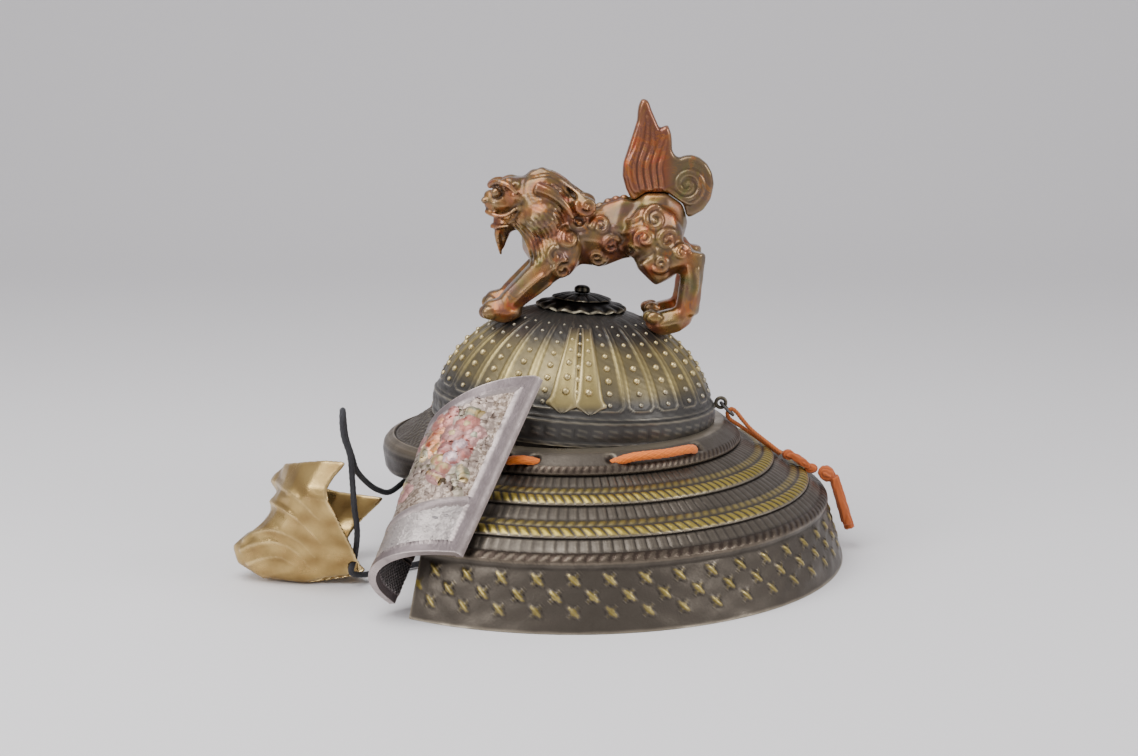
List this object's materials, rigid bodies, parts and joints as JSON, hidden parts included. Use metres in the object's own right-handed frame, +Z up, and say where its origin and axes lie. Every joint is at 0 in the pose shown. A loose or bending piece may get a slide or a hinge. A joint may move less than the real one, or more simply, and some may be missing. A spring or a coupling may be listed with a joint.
{
  "type": "ornamental samurai helmet with a face mask",
  "caption": "Cast metal samurai helmet with a ribbed bowl, flared neck guard, side plates, a lion crest, a rear tassel and a separate half mask on a cord.",
  "frame": {"origin": "the middle of the box round the helmet and mask, without the cords and the tassel, on the surface that they stand on", "axes": "+X towards the wearer's left, -Y the way that the helmet faces, +Z up"},
  "size_m": [0.3424, 0.3615, 0.2664],
  "materials": {
    "bowl_bronze": "satin patina",
    "guard_bronze": "satin dark patina",
    "plate_bronze": "satin, painted in relief",
    "lion_bronze": "semi-gloss lacquer",
    "mask_brass": "polished, worn",
    "ring_iron": "satin",
    "orange_cord": "twisted silk",
    "black_cord": "braided"
  },
  "bodies": {
    "root": {"bowl": "bowl_bronze", "finial_seat": "bowl_bronze", "finial_petals": "bowl_bronze", "finial_knob": "bowl_bronze", "neck_guard": "guard_bronze", "brim": "guard_bronze", "side_plate_left": "plate_bronze", "side_plate_right": "plate_bronze", "lion": "lion_bronze", "lion_tail": "lion_bronze", "rear_ring": "ring_iron", "tassel_cord": "orange_cord", "tassel_bow": "orange_cord", "tassel": "orange_cord", "lacing_cord": "orange_cord", "face_mask": "mask_brass", "mask_cord": "black_cord"}
  },
  "joints": []
}
